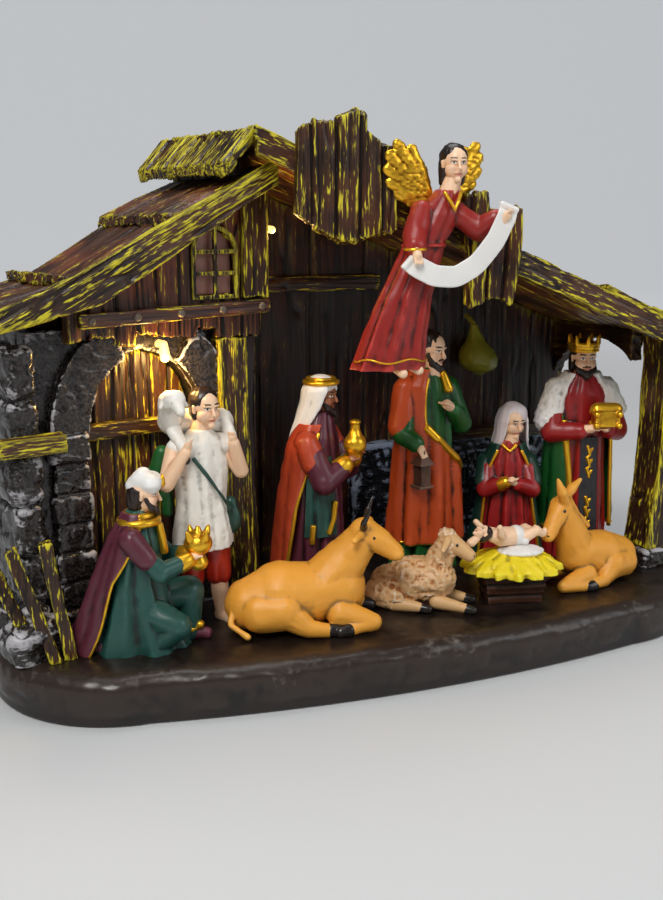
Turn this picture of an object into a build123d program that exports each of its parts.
"""A lit nativity stable with its figures, cast in resin to look like old timber and stone.

Sizes are in millimetres. The origin is the middle of the footprint on the surface it stands on. +X runs
to the right along the front, the front looks along -Y and +Z is up. The left wing is turned forwards. Its
pieces are drawn in wing coordinates, u along its front, v towards its back and z up, and are then put in
place.
Each figure is drawn in hundredths of its own height, facing -Y, and is then scaled and turned.
"""

from build123d import *
import math
import os

# Base casting
BASE_WIDTH = 300.0
BASE_DEPTH = 134.0
BASE_THICKNESS = 18.0
BASE_TOP_ROUND = 5.0
BASE_FOOT_ROUND = 1.5
BASE_CORNER_WIDTH = 50.0
BASE_CORNER_DEPTH = 50.0
BASE_BOW_SHARE = 0.045
END_SETBACK = 0.5
BACK_SETBACK = 1.0

# Left wing: its place, turn and walls
WING_X = -47.0
WING_Y = 10.5
WING_TURN = 16.0
WING_WALL_LEFT = -88.0
STONE_WALL_THICKNESS = 10.0
STONE_WALL_TOP = 133.0
SIDE_WALL_THICKNESS = 4.0
REAR_WALL_THICKNESS = 5.0
PARTITION_THICKNESS = 7.0

# Arched doorway
ARCH_CENTRE = -44.0
ARCH_HALF_WIDTH = 23.0
ARCH_SPRING = 96.0
ARCH_RISE = 28.0
DOOR_RECESS = 6.0
DOOR_THICKNESS = 3.0
DOOR_CLEARANCE = 0.2
BATTEN_FOOT = 91.0
BATTEN_HEIGHT = 6.0
BATTEN_THICKNESS = 3.5
VOUSSOIR_WIDTH = 15.0
VOUSSOIR_RELIEF = 4.5
VOUSSOIR_STEP = 14.0
VOUSSOIR_JOINT = 1.2
VOUSSOIR_LEFT_STOP = 110.0
VOUSSOIR_RIGHT_STOP = 55.0
JAMB_COUNT = 7
JAMB_WIDTH = 15.5
JAMB_INSET = 1.0
STONE_JOINT = 0.6
STONE_ROUND = 1.6

# Pier, boulders, rail and stakes at the left end
PIER_COUNT = 6
PIER_WIDTH = 11.5
PIER_FRONT = -12.0
PIER_BACK = 14.0
PIER_TOP = 130.0
PIER_ROUND = 3.0
RAIL_LENGTH = 24.0
RAIL_RIGHT = -80.0
RAIL_FOOT = 92.0
RAIL_HEIGHT = 6.5
RAIL_THICKNESS = 3.0
RAIL_SEAT = 3.0
BOULDER_SIZE = 22.0
BOULDER_FLATNESS = 0.8
BOULDER_ROUND = 6.0
BOULDER_TIP = (12.0, -10.0)
BOULDERS = [(-136.0, -27.0, 6.0, 25.0), (-140.0, -6.0, 9.0, 60.0), (-139.0, 18.0, 7.0, 10.0)]
STAKE_WIDTH = 4.5
STAKE_THICKNESS = 2.6
STAKE_LENGTH = 44.0
STAKES = [(-129.0, -36.0, -17.0, 8.0), (-123.5, -34.0, -9.0, 3.0), (-134.0, -33.0, -22.0, 14.0)]

# Left post, gable and its window
POST_WIDTH = 13.0
POST_DEPTH = 12.0
POST_FOOT_U = -4.0
POST_LEAN = -3.5
GABLE_THICKNESS = 6.0
GABLE_RIGHT = 7.0
GABLE_LEFT = -74.0
GABLE_FOOT = 127.0
GABLE_JAG = 4.0
GABLE_BOARDS = 7
CORNER_BOARD_WIDTH = 11.0
CORNER_BOARD_THICKNESS = 3.0
STRAP_LEFT = -71.0
STRAP_RIGHT = 8.0
STRAP_LEFT_FOOT = 134.0
STRAP_RISE = 2.6
STRAP_HEIGHT = 5.2
STRAP_THICKNESS = 4.0
RIVET_COUNT = 5
RIVET_RADIUS = 1.7
RIVET_HEIGHT = 1.0
RIVET_MARGIN = 4.0
WINDOW_CENTRE = -15.0
WINDOW_HALF_WIDTH = 8.4
WINDOW_SILL = 144.0
WINDOW_SPRING = 160.0
WINDOW_RISE = 8.4
WINDOW_BAR = 1.6
WINDOW_FRAME_RELIEF = 1.6
WINDOW_ROWS = 3
PANE_THICKNESS = 1.5
PANE_RECESS = 2.0

# Left roof
LEFT_ROOF_HIGH = 184.0
LEFT_ROOF_PITCH = 30.0
LEFT_FLARE_U = -66.0
LEFT_FLARE_PITCH = 15.5
LEFT_EAVE_U = -102.0
LEFT_ROOF_FRONT = -13.0
COURSE_THICKNESS = 5.0
COURSE_LIFT = 4.5
COURSE_OVERLAP = 6.0
UPPER_COURSE_END = -34.0
MIDDLE_COURSE_END = -75.0
BARGE_THICKNESS = 4.0
BARGE_DROP = 3.5

# Main roof
RIDGE_U = -3.0
RIDGE_FRONT = -18.0
RIDGE_TOP = 206.0
CAP_REACH = 12.0
CAP_DROP = 13.0
CAP_THICKNESS = 5.0
DECK_THICKNESS = 5.5
DECK_PLANK = 14.0
RIGHT_EAVE_TOP = 122.0
RIGHT_EAVE_Y = -34.0
RIGHT_BARGE_THICKNESS = 4.0
RIGHT_BARGE_DROP = 5.0
BROKEN_THICKNESS = 6.0
BROKEN_LEFT = [
    (-32, 174),
    (-31, 204),
    (-28, 206.5),
    (-16, 208),
    (-10, 210.5),
    (-5, 210),
    (-5, 204),
    (6, 197),
    (7, 168),
    (-6, 165),
    (-18, 165),
]
BROKEN_RIGHT = [
    (33, 181),
    (42, 182),
    (43, 176),
    (57, 177),
    (58, 164),
    (54, 140),
    (44, 142),
    (36, 139),
    (35, 160),
]
SHINGLE_LENGTH = 50.0
SHINGLE_DEPTH = 30.0
SHINGLE_THICKNESS = 3.0

# Right post, side arch and back wall
RIGHT_POST_LEFT = 133.5
RIGHT_POST_WIDTH = 11.0
RIGHT_POST_FRONT = -22.0
RIGHT_POST_DEPTH = 18.0
RIGHT_POST_FLARE = 2.0
RIGHT_POST_WAIST = 2.5
RIGHT_PLINTH_HEIGHT = 9.0
RIGHT_PLINTH_MARGIN = 1.5
SIDE_ARCH_LEFT = 130.0
SIDE_ARCH_THICKNESS = 6.0
SIDE_ARCH_FRONT_SPRING = 110.0
SIDE_ARCH_BACK_SPRING = 97.0
SIDE_ARCH_CROWN = 118.0
BACK_WALL_THICKNESS = 6.0
WALL_PLANK = 13.0
REAR_PLANK = 12.0
SEAM_WIDTH = 1.6
SEAM_DEPTH = 1.2
BACK_WINDOW_X = 49.0
BACK_WINDOW_HALF_WIDTH = 6.0
BACK_WINDOW_SILL = 113.0
BACK_WINDOW_SPRING = 120.0
PLINTH_LEFT = 18.0
PLINTH_HEIGHT = 50.0
PLINTH_THICKNESS = 7.0
LEDGE_LEFT = 62.0
LEDGE_HEIGHT = 5.0
LEDGE_OVERHANG = 4.0
TIE_LEFT = -38.0
TIE_RIGHT = 32.0
TIE_FOOT = 141.0
TIE_HEIGHT = 7.0
TIE_THICKNESS = 4.0
GOURD_X = 84.0
GOURD_TOP = 124.0
GOURD_LENGTH = 25.0
GOURD_RADIUS = 9.5
GOURD_SINK = 1.5
GOURD_LEAN = 4.0
GOURD_SHAPE = [(0.02, 0.25), (0.12, 0.75), (0.3, 1.0), (0.5, 0.85), (0.68, 0.5), (0.85, 0.3), (1.0, 0.16)]

# Figures: height, place on the base and heading in degrees
KNEELING_KING = (69.0, -98.0, -30.0, 72.0)
SHEPHERD = (97.0, -70.0, -12.0, 12.0)
JAR_KING = (94.0, -14.0, 12.0, 48.0)
FATHER = (107.0, 40.0, 19.0, 14.0)
MOTHER = (75.0, 79.0, 14.0, -22.0)
STANDING_KING = (103.0, 114.5, 10.5, -18.0)
OX = (72.0, -33.0, -33.0, -8.0)
SHEEP = (44.0, 16.0, -29.0, -30.0)
DONKEY = (50.0, 95.0, -26.0, 186.0)
ANGEL_HEIGHT = 87.0
ANGEL_X = 0.0
ANGEL_Y = -30.0
ANGEL_FOOT = 113.0
BANNER_THICKNESS = 1.2
BANNER_HEIGHT = 8.0

# Crib with its straw and the infant
CRIB_X = 55.0
CRIB_Y = -34.0
CRIB_TURN = -14.0
CRIB_TOP_LENGTH = 29.0
CRIB_TOP_WIDTH = 20.0
CRIB_FOOT_LENGTH = 22.0
CRIB_FOOT_WIDTH = 14.0
CRIB_HEIGHT = 16.0
CRIB_WALL = 1.8
CRIB_FLOOR = 4.0
STRAW_OVERHANG = 5.0
STRAW_THICKNESS = 6.0
STRAW_TIPS = 13
STRAW_TAPER = 25.0
INFANT_LENGTH = 33.0
INFANT_TURN = 198.0
INFANT_SHIFT = -2.5

# Lamps and their leads
LAMP_RADIUS = 1.5
LAMP_LENGTH = 6.0
LAMP_CLEARANCE = 0.1
LAMP_SEAT = 3.0
DOOR_LAMP_U = -36.0
DOOR_LAMP_Z = 126.0
GABLE_LAMP_Z = 169.0
LEAD_RADIUS = 0.6
LEAD_BEND = 2.0
LEAD_BORE = 2.0
LEAD_HEIGHT = 9.0
LEAD_SPACING = 2.4
RISER_U = -24.0
RISER_GAP = 0.3

# Battery box, cells and sliding cover under the base
CELL_DIAMETER = 10.5
CELL_LENGTH = 44.5
CELL_COUNT = 2
CELL_GAP = 1.0
CONTACT_ROOM = 3.0
CONTACT_THICKNESS = 0.5
CONTACT_SIZE = 8.5
BOX_X = 0.0
BOX_WALL = 1.4
BOX_HEADROOM = 0.8
BOX_REAR = 5.0
COVER_THICKNESS = 1.6
COVER_LIP = 1.0
COVER_TONGUE = 2.0
COVER_CLEARANCE = 0.15
COVER_FRONT_REST = 2.0
GRIP_LENGTH = 20.0
GRIP_RIB = 1.2
GRIP_COUNT = 4
GRIP_RELIEF = 0.7

# Slide switch beside the battery box
SWITCH_GAP = 10.0
SWITCH_LENGTH = 10.0
SWITCH_WIDTH = 6.0
SWITCH_HEIGHT = 5.0
SWITCH_WALL = 0.8
SWITCH_RECESS = 2.6
SWITCH_FINGER_ROOM = 2.0
SLIDER_LENGTH = 2.6
SLIDER_WIDTH = 2.2
SLIDER_REACH = 1.8
SLIDER_FLANGE = 4.0
SLIDER_FLANGE_HEIGHT = 1.4
SLIDER_TRAVEL = 3.0
SLIDER_CLEARANCE = 0.2

# Places worked out from the sizes above
BASE_TOP = BASE_THICKNESS
BASE_FRONT_BOW = BASE_BOW_SHARE * (BASE_WIDTH - 2 * BASE_CORNER_WIDTH)
BASE_BACK = BASE_DEPTH / 2
END_X = BASE_WIDTH / 2 - END_SETBACK
BACK_Y = BASE_BACK - BACK_SETBACK
BACK_WALL_FRONT = BACK_Y - BACK_WALL_THICKNESS
WING = Location((WING_X, WING_Y, 0), (0, 0, WING_TURN))
WING_COS = math.cos(math.radians(WING_TURN))
WING_SIN = math.sin(math.radians(WING_TURN))
WING_REAR = (BACK_Y - WING_Y) / WING_COS - BACK_SETBACK
REAR_WALL_FRONT = WING_REAR - REAR_WALL_THICKNESS
GABLE_FRONT = -GABLE_THICKNESS
FAR = 400.0

nodes = {}


def wing_to_row(u, v, z):
    """Gives the row coordinates of a point of the wing."""
    return (WING_X + u * WING_COS - v * WING_SIN, WING_Y + u * WING_SIN + v * WING_COS, z)


def join(*pieces):
    """Fuses solids, given one by one or in lists."""
    flat = []
    for piece in pieces:
        flat.extend(piece if isinstance(piece, list) else [piece])
    whole = Part() + flat[0]
    for piece in flat[1:]:
        whole += piece
    return whole


def largest(shape):
    """The largest solid that is left after a cut."""
    return max(shape.solids(), key=lambda solid: solid.volume)


def block(low, high):
    """A box between two corners."""
    size = [b - a for a, b in zip(low, high)]
    return Pos(*low) * Box(*size, align=(Align.MIN, Align.MIN, Align.MIN))


def upright(edges, v_front, v_back):
    """An upright slab from a closed outline that lies in the plane v = v_front."""
    return extrude(make_face(edges), v_back - v_front, dir=(0, 1, 0))


def board(outline, v_front, v_back):
    """An upright slab from (u, z) corners."""
    return upright(Polyline(*[(u, v_front, z) for u, z in outline], close=True), v_front, v_back)


def rod(start, end, radius):
    """A plain round rod between two points."""
    axis = Vector(*end) - Vector(*start)
    return Solid.make_cylinder(radius, axis.length, Plane(origin=start, z_dir=axis))


def arch_outline(centre, half_width, foot, spring, rise, v):
    """The closed outline of an arched opening: two jambs, a sill and a slightly pointed head."""
    shoulder = math.sqrt(0.5)
    left, right = centre - half_width, centre + half_width
    crown = (centre, v, spring + rise)
    left_mid = (centre - half_width * shoulder, v, spring + rise * shoulder)
    right_mid = (centre + half_width * shoulder, v, spring + rise * shoulder)
    return [
        Line((left, v, foot), (left, v, spring)),
        ThreePointArc((left, v, spring), left_mid, crown),
        ThreePointArc(crown, right_mid, (right, v, spring)),
        Line((right, v, spring), (right, v, foot)),
        Line((right, v, foot), (left, v, foot)),
    ]


def rounded_stone(low, high, round_size):
    """A block with all its edges rounded."""
    stone = block(low, high)
    limit = 0.4 * min(b - a for a, b in zip(low, high))
    return fillet(stone.edges(), min(round_size, limit))


def left_under(u):
    """Height of the left roof's underside, which flattens towards the eave."""
    steep = math.tan(math.radians(LEFT_ROOF_PITCH))
    flat = math.tan(math.radians(LEFT_FLARE_PITCH))
    if u >= LEFT_FLARE_U:
        return LEFT_ROOF_HIGH + steep * u
    return LEFT_ROOF_HIGH + steep * LEFT_FLARE_U + flat * (u - LEFT_FLARE_U)


# Main roof: its front and back edges run from the ridge to the right eave
RIDGE_REAR = (BACK_Y - WING_Y - RIDGE_U * WING_SIN) / WING_COS
FRONT_LEFT = Vector(*wing_to_row(RIDGE_U, RIDGE_FRONT, 0))
BACK_LEFT = Vector(*wing_to_row(RIDGE_U, RIDGE_REAR, 0))
FRONT_RIGHT = Vector(END_X, RIGHT_EAVE_Y, 0)
BACK_RIGHT = Vector(END_X, BACK_Y, 0)
FRONT_RUN = (FRONT_RIGHT - FRONT_LEFT).length
FRONT_PLANE = Plane(
    origin=FRONT_LEFT,
    x_dir=FRONT_RIGHT - FRONT_LEFT,
    z_dir=(FRONT_RIGHT - FRONT_LEFT).cross(Vector(0, 0, 1)),
)


def roof_section(left, right, top_offset, foot_left, foot_right):
    """One end of a main roof solid: a quadrilateral between two heights over the line left to right."""
    up = Vector(0, 0, 1)
    corners = [
        left + up * (RIDGE_TOP + top_offset),
        right + up * (RIGHT_EAVE_TOP + top_offset),
        right + up * foot_right,
        left + up * foot_left,
    ]
    return make_face(Polyline(*corners, close=True))


def main_roof_solid(top_offset, foot_left, foot_right):
    """A solid under the main roof's plane, ruled from its front edge to its back edge."""
    front = roof_section(FRONT_LEFT, FRONT_RIGHT, top_offset, foot_left, foot_right)
    back = roof_section(BACK_LEFT, BACK_RIGHT, top_offset, foot_left, foot_right)
    return loft([front, back], ruled=True)


UNDER_MAIN_ROOF = main_roof_solid(-DECK_THICKNESS, -FAR, -FAR)


def front_height(x):
    """Height of the main roof's top over its front edge, at row coordinate x."""
    share = (x - FRONT_LEFT.X) / (FRONT_RIGHT.X - FRONT_LEFT.X)
    return RIDGE_TOP + (RIGHT_EAVE_TOP - RIDGE_TOP) * share


def front_reach(x):
    """Distance along the main roof's front edge at row coordinate x."""
    return FRONT_RUN * (x - FRONT_LEFT.X) / (FRONT_RIGHT.X - FRONT_LEFT.X)


def front_board(outline, near, far):
    """An upright board before the main roof, from (x, z) corners, between two distances from its edge."""
    flat = make_face(Polyline(*[(front_reach(x), z) for x, z in outline], close=True))
    return extrude(FRONT_PLANE.offset(near) * flat, far - near)


# Base slab with the pockets for the battery box, its cover, the switch and the leads
BOX_INNER_LENGTH = CELL_LENGTH + 2 * CONTACT_ROOM
BOX_INNER_WIDTH = CELL_COUNT * CELL_DIAMETER + (CELL_COUNT + 1) * CELL_GAP
BOX_LENGTH = BOX_INNER_LENGTH + 2 * BOX_WALL
BOX_WIDTH = BOX_INNER_WIDTH + 2 * BOX_WALL
BOX_Y = BASE_BACK - BOX_REAR - BOX_WIDTH / 2
COVER_FOOT = COVER_LIP + COVER_CLEARANCE
COVER_TOP = COVER_FOOT + COVER_THICKNESS
BOX_FOOT = COVER_TOP + COVER_CLEARANCE
BOX_INNER_TOP = BOX_FOOT + CELL_DIAMETER + BOX_HEADROOM
BOX_TOP = BOX_INNER_TOP + BOX_WALL
SLOT_HALF = BOX_LENGTH / 2 + COVER_TONGUE
SLOT_FRONT = BOX_Y - BOX_WIDTH / 2 - COVER_FRONT_REST
SWITCH_X = BOX_X + BOX_LENGTH / 2 + SWITCH_GAP + SWITCH_LENGTH / 2
SWITCH_Y = BOX_Y
RISER_V = REAR_WALL_FRONT - RISER_GAP - LEAD_RADIUS


def riser_place(index, z):
    """A point of the upright run of a lead, beside the left rear wall."""
    return wing_to_row(RISER_U + index * LEAD_SPACING, RISER_V, z)


def lead_height(index):
    """Height at which a lead crosses the base."""
    return LEAD_HEIGHT + index * LEAD_SPACING


def base_slab():
    """The lumpy plinth under everything, a straight-backed slab with a bowed front."""
    half = BASE_WIDTH / 2
    front = -BASE_DEPTH / 2 + BASE_FRONT_BOW
    shoulder = math.sqrt(0.5)
    edges = []
    for side in (-1, 1):
        end_point = (side * half, front + BASE_CORNER_DEPTH)
        front_point = (side * (half - BASE_CORNER_WIDTH), front)
        middle = (
            side * (half - BASE_CORNER_WIDTH * (1 - shoulder)),
            front + BASE_CORNER_DEPTH * (1 - shoulder),
        )
        edges.append(ThreePointArc(end_point, middle, front_point))
        edges.append(Line(end_point, (side * half, BASE_BACK)))
    edges.append(Line((-half, BASE_BACK), (half, BASE_BACK)))
    left_front = (-half + BASE_CORNER_WIDTH, front)
    right_front = (half - BASE_CORNER_WIDTH, front)
    edges.append(ThreePointArc(left_front, (0, front - BASE_FRONT_BOW), right_front))
    slab = extrude(make_face(edges), BASE_THICKNESS)
    slab = fillet(slab.edges().group_by(Axis.Z)[-1], BASE_TOP_ROUND)
    slab = fillet(slab.edges().group_by(Axis.Z)[0], BASE_FOOT_ROUND)
    box_half = BOX_LENGTH / 2
    box_front, box_back = BOX_Y - BOX_WIDTH / 2, BOX_Y + BOX_WIDTH / 2
    rear = BASE_BACK + BASE_FOOT_ROUND
    slab -= block((BOX_X - box_half, box_front, COVER_LIP), (BOX_X + box_half, box_back, BOX_TOP))
    slab -= block((BOX_X - SLOT_HALF, SLOT_FRONT, COVER_LIP), (BOX_X + SLOT_HALF, rear, BOX_FOOT))
    slab -= block((BOX_X - box_half, box_front, -1), (BOX_X + box_half, rear, COVER_LIP))
    room = SWITCH_FINGER_ROOM
    slab -= block(
        (SWITCH_X - SWITCH_LENGTH / 2 - room, SWITCH_Y - SWITCH_WIDTH / 2 - room, -1),
        (SWITCH_X + SWITCH_LENGTH / 2 + room, SWITCH_Y + SWITCH_WIDTH / 2 + room, SWITCH_RECESS),
    )
    slab -= block(
        (SWITCH_X - SWITCH_LENGTH / 2, SWITCH_Y - SWITCH_WIDTH / 2, SWITCH_RECESS),
        (SWITCH_X + SWITCH_LENGTH / 2, SWITCH_Y + SWITCH_WIDTH / 2, SWITCH_RECESS + SWITCH_HEIGHT),
    )
    for index in range(2):
        turn = riser_place(index, lead_height(index))
        slab -= rod((BOX_X - box_half, turn[1], lead_height(index)), turn, LEAD_BORE / 2)
        slab -= rod(turn, riser_place(index, BASE_TOP + 1), LEAD_BORE / 2)
        slab -= Pos(*turn) * Sphere(LEAD_BORE / 2)
    return slab


def battery_pieces():
    """Box, cells, contacts and the cover that slides out of the back edge."""
    inner_x, inner_y = BOX_INNER_LENGTH / 2, BOX_INNER_WIDTH / 2
    box = block(
        (BOX_X - BOX_LENGTH / 2, BOX_Y - BOX_WIDTH / 2, BOX_FOOT),
        (BOX_X + BOX_LENGTH / 2, BOX_Y + BOX_WIDTH / 2, BOX_TOP),
    )
    box -= block(
        (BOX_X - inner_x, BOX_Y - inner_y, BOX_FOOT),
        (BOX_X + inner_x, BOX_Y + inner_y, BOX_INNER_TOP),
    )
    for index in range(2):
        row_y, height = riser_place(index, 0)[1], lead_height(index)
        outside, inside = BOX_X - BOX_LENGTH / 2 - 1, BOX_X - inner_x + 1
        box -= rod((outside, row_y, height), (inside, row_y, height), LEAD_BORE / 2)
    cells, contacts = [], []
    cell_z = BOX_FOOT + CELL_DIAMETER / 2
    pitch = CELL_DIAMETER + CELL_GAP
    for index in range(CELL_COUNT):
        row_y = BOX_Y + (index - (CELL_COUNT - 1) / 2) * pitch
        half = CELL_LENGTH / 2
        left_end, right_end = (BOX_X - half, row_y, cell_z), (BOX_X + half, row_y, cell_z)
        cells.append(rod(left_end, right_end, CELL_DIAMETER / 2))
        for side in (-1, 1):
            wall = BOX_X + side * inner_x
            face = wall - side * CONTACT_THICKNESS
            plate = block(
                (min(wall, face), row_y - CONTACT_SIZE / 2, cell_z - CONTACT_SIZE / 2),
                (max(wall, face), row_y + CONTACT_SIZE / 2, cell_z + CONTACT_SIZE / 2),
            )
            tip = BOX_X + side * half
            contacts.append(plate + rod((face, row_y, cell_z), (tip, row_y, cell_z), CONTACT_SIZE / 4))
    cover_half = SLOT_HALF - COVER_CLEARANCE
    cover = block(
        (BOX_X - cover_half, SLOT_FRONT + COVER_CLEARANCE, COVER_FOOT),
        (BOX_X + cover_half, BASE_BACK - BASE_FOOT_ROUND, COVER_TOP),
    )
    for index in range(GRIP_COUNT):
        rib_y = BASE_BACK - BASE_FOOT_ROUND - (2 * index + 2) * GRIP_RIB
        cover += block(
            (BOX_X - GRIP_LENGTH / 2, rib_y, COVER_FOOT - GRIP_RELIEF),
            (BOX_X + GRIP_LENGTH / 2, rib_y + GRIP_RIB, COVER_FOOT),
        )
    return box, join(cells), join(contacts), cover


def switch_pieces():
    """The slide switch: a hollow body with a slot, and the slider that shows in it."""
    half_length, half_width = SWITCH_LENGTH / 2, SWITCH_WIDTH / 2
    foot, top = SWITCH_RECESS, SWITCH_RECESS + SWITCH_HEIGHT
    floor = foot + SWITCH_WALL
    body = block(
        (SWITCH_X - half_length, SWITCH_Y - half_width, foot),
        (SWITCH_X + half_length, SWITCH_Y + half_width, top),
    )
    body -= block(
        (SWITCH_X - half_length + SWITCH_WALL, SWITCH_Y - half_width + SWITCH_WALL, floor),
        (SWITCH_X + half_length - SWITCH_WALL, SWITCH_Y + half_width - SWITCH_WALL, top - SWITCH_WALL),
    )
    slot_half = (SLIDER_LENGTH + SLIDER_TRAVEL) / 2 + SLIDER_CLEARANCE
    slot_width = SLIDER_WIDTH / 2 + SLIDER_CLEARANCE
    body -= block(
        (SWITCH_X - slot_half, SWITCH_Y - slot_width, foot),
        (SWITCH_X + slot_half, SWITCH_Y + slot_width, floor),
    )
    middle = SWITCH_X - SLIDER_TRAVEL / 2
    flange_width = half_width - SWITCH_WALL - SLIDER_CLEARANCE
    slider = block(
        (middle - SLIDER_LENGTH / 2, SWITCH_Y - SLIDER_WIDTH / 2, foot - SLIDER_REACH),
        (middle + SLIDER_LENGTH / 2, SWITCH_Y + SLIDER_WIDTH / 2, floor + SLIDER_CLEARANCE),
    )
    flange_foot = floor + SLIDER_CLEARANCE
    slider += block(
        (middle - SLIDER_FLANGE / 2, SWITCH_Y - flange_width, flange_foot),
        (middle + SLIDER_FLANGE / 2, SWITCH_Y + flange_width, flange_foot + SLIDER_FLANGE_HEIGHT),
    )
    return body, slider


def lamp(seat, direction):
    """A small round-headed lamp whose back stands at seat and whose head points along direction."""
    head = Vector(*seat) + Vector(*direction).normalized() * (LAMP_LENGTH - LAMP_RADIUS)
    return rod(seat, tuple(head), LAMP_RADIUS) + Pos(*tuple(head)) * Sphere(LAMP_RADIUS)


def lamp_hole(seat, direction):
    """The hole that a lamp is pushed into."""
    head = Vector(*seat) + Vector(*direction).normalized() * (LAMP_LENGTH + LAMP_RADIUS)
    return rod(seat, tuple(head), LAMP_RADIUS + LAMP_CLEARANCE)


# Both lamps are seated in wing coordinates
DOOR_LAMP_SEAT = (DOOR_LAMP_U, LAMP_SEAT, DOOR_LAMP_Z)
DOOR_LAMP_HOLE = lamp_hole(DOOR_LAMP_SEAT, (0, -1, 0)) + rod(
    DOOR_LAMP_SEAT, (DOOR_LAMP_U, STONE_WALL_THICKNESS + 1, DOOR_LAMP_Z), LEAD_RADIUS + LAMP_CLEARANCE
)
GABLE_LAMP_SEAT = (GABLE_RIGHT - LAMP_SEAT, GABLE_FRONT / 2, GABLE_LAMP_Z)
GABLE_LEAD_U = -LAMP_SEAT
GABLE_LEAD_TURN = (GABLE_LEAD_U, GABLE_FRONT / 2, GABLE_LAMP_Z)
GABLE_LAMP_HOLE = lamp_hole(GABLE_LAMP_SEAT, (1, 0, 0))
GABLE_LAMP_HOLE += rod(GABLE_LEAD_TURN, GABLE_LAMP_SEAT, LEAD_BORE / 2)
GABLE_LAMP_HOLE += rod(GABLE_LEAD_TURN, (GABLE_LEAD_U, 1, GABLE_LAMP_Z), LEAD_BORE / 2)
GABLE_LAMP_HOLE += Pos(*GABLE_LEAD_TURN) * Sphere(LEAD_BORE / 2)


def lead(points):
    """A thin lead along straight runs with small bends."""
    path = FilletPolyline(*points, radius=LEAD_BEND)
    start = Plane(origin=path @ 0, z_dir=path % 0)
    return sweep(start * Circle(LEAD_RADIUS), path=path)


def lamp_leads():
    """From the battery box through the base, up the left bay and to each lamp."""
    door_route = [
        (BOX_X - BOX_INNER_LENGTH / 2, riser_place(0, 0)[1], lead_height(0)),
        riser_place(0, lead_height(0)),
        riser_place(0, DOOR_LAMP_Z),
        wing_to_row(DOOR_LAMP_U, STONE_WALL_THICKNESS + LEAD_SPACING * 2, DOOR_LAMP_Z),
        wing_to_row(*DOOR_LAMP_SEAT),
    ]
    gable_route = [
        (BOX_X - BOX_INNER_LENGTH / 2, riser_place(1, 0)[1], lead_height(1)),
        riser_place(1, lead_height(1)),
        riser_place(1, GABLE_LAMP_Z),
        wing_to_row(GABLE_LEAD_U, LEAD_SPACING * 2, GABLE_LAMP_Z),
        wing_to_row(*GABLE_LEAD_TURN),
        wing_to_row(*GABLE_LAMP_SEAT),
    ]
    return join(lead(door_route), lead(gable_route))


# Left wing
def stone_wall():
    """The wall with the arched doorway."""
    right = POST_FOOT_U - POST_WIDTH / 2
    wall = block((WING_WALL_LEFT, 0, BASE_TOP), (right, STONE_WALL_THICKNESS, STONE_WALL_TOP))
    opening = arch_outline(ARCH_CENTRE, ARCH_HALF_WIDTH, BASE_TOP, ARCH_SPRING, ARCH_RISE, -1)
    return wall - upright(opening, -1, STONE_WALL_THICKNESS + 1)


def arch_point(angle, grow):
    """A point of the doorway's head, or of a larger arch round it."""
    bend = math.radians(angle)
    return (
        ARCH_CENTRE + (ARCH_HALF_WIDTH + grow) * math.cos(bend),
        ARCH_SPRING + (ARCH_RISE + grow) * math.sin(bend),
    )


def voussoirs(cutters):
    """Wedge stones round the doorway's head, left of the crown and right of it."""
    stones = []
    starts = []
    angle = 180.0
    while angle - VOUSSOIR_STEP >= VOUSSOIR_LEFT_STOP:
        starts.append(angle)
        angle -= VOUSSOIR_STEP
    angle = VOUSSOIR_RIGHT_STOP
    while angle - VOUSSOIR_STEP >= 0:
        starts.append(angle)
        angle -= VOUSSOIR_STEP
    for start in starts:
        end = start - VOUSSOIR_STEP + VOUSSOIR_JOINT
        inner = [arch_point(start, 0), arch_point(end, 0)]
        outer = [arch_point(end, VOUSSOIR_WIDTH), arch_point(start, VOUSSOIR_WIDTH)]
        stone = board(inner + outer, -VOUSSOIR_RELIEF, 0)
        for cutter in cutters:
            stone -= cutter
        stones.append(stone)
    return join(stones)


def jamb_stones():
    """Quoin stones up the left side of the doorway."""
    right = ARCH_CENTRE - ARCH_HALF_WIDTH
    height = (ARCH_SPRING - BASE_TOP) / JAMB_COUNT
    stones = []
    for index in range(JAMB_COUNT):
        inset = JAMB_INSET * (index % 2)
        foot = BASE_TOP + index * height
        stones.append(
            rounded_stone(
                (right - JAMB_WIDTH + inset, -VOUSSOIR_RELIEF + inset / 2, foot),
                (right - inset / 2, 0, foot + height - STONE_JOINT),
                STONE_ROUND,
            )
        )
    return join(stones)


def pier_stones():
    """Large rough stones stacked at the wing's left end."""
    height = (PIER_TOP - BASE_TOP) / PIER_COUNT
    stones = []
    for index in range(PIER_COUNT):
        foot = BASE_TOP + index * height
        inset = JAMB_INSET * ((index * 2) % 3)
        stones.append(
            rounded_stone(
                (WING_WALL_LEFT - PIER_WIDTH + inset, PIER_FRONT + inset, foot),
                (WING_WALL_LEFT, PIER_BACK - inset, foot + height - STONE_JOINT),
                PIER_ROUND,
            )
        )
    return join(stones)


def boulders(cutters):
    """Boulders at the foot of the pier, in row coordinates."""
    half = BOULDER_SIZE / 2
    low = half * BOULDER_FLATNESS
    stones = []
    for x, y, lift, turn in BOULDERS:
        stone = rounded_stone((-half, -low, -low), (half, low, low), BOULDER_ROUND)
        stone = Pos(x, y, BASE_TOP + lift) * Rot(*BOULDER_TIP, turn) * stone
        stone &= block((-END_X, -BASE_BACK, BASE_TOP), (END_X, BASE_BACK, FAR))
        for cutter in cutters:
            stone -= cutter
        stones.append(largest(stone))
    return join(stones)


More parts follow.
